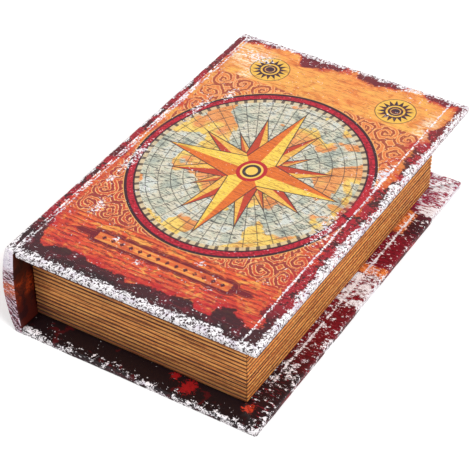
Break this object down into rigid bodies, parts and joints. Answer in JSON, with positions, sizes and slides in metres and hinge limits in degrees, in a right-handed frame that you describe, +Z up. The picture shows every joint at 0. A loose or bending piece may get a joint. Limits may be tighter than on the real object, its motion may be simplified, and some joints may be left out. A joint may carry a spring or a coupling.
{
  "type": "book safe",
  "caption": "Hollow storage box made to look like an old book, with a cloth-hinged lid held shut by magnets and a lined tray inside.",
  "frame": {"origin": "under the middle of the whole book, on the surface that its back cover lies on", "axes": "+X from the spine to the fore edge, +Y from the tail to the head, +Z up from the back cover to the front cover"},
  "size_m": [0.1574, 0.24, 0.0595],
  "materials": {
    "printed_covering": "printed leather-look covering in burnt orange, crimson and near black, worn white along its edges, semi-gloss",
    "board": "raw fibreboard",
    "page_wall": "grooved fibreboard stained tan brown, satin",
    "lining": "dark short-pile cloth",
    "magnet": "nickel-plated"
  },
  "bodies": {
    "case": {"back_board": "board", "back_cover_wrap": "printed_covering", "spine_board": "board", "spine_cover_wrap": "printed_covering", "tail_page_wall": "page_wall", "head_page_wall": "page_wall", "fore_edge_page_wall": "page_wall", "spine_side_wall": "board", "floor_lining": "lining", "tail_lining": "lining", "head_lining": "lining", "fore_edge_lining": "lining", "spine_side_lining": "lining", "tail_side_case_magnet": "magnet", "head_side_case_magnet": "magnet", "hinge_cloth": "printed_covering"},
    "lid": {"front_board": "board", "front_cover_wrap": "printed_covering", "lid_lining": "lining", "tail_side_lid_magnet": "magnet", "head_side_lid_magnet": "magnet"}
  },
  "joints": [
    {"name": "lid_hinge", "type": "hinge", "parent": "case", "child": "lid", "pos_m": [-0.06855, 0, 0.0595], "axis": [0, -1, 0], "range_deg": [0, 175]}
  ]
}
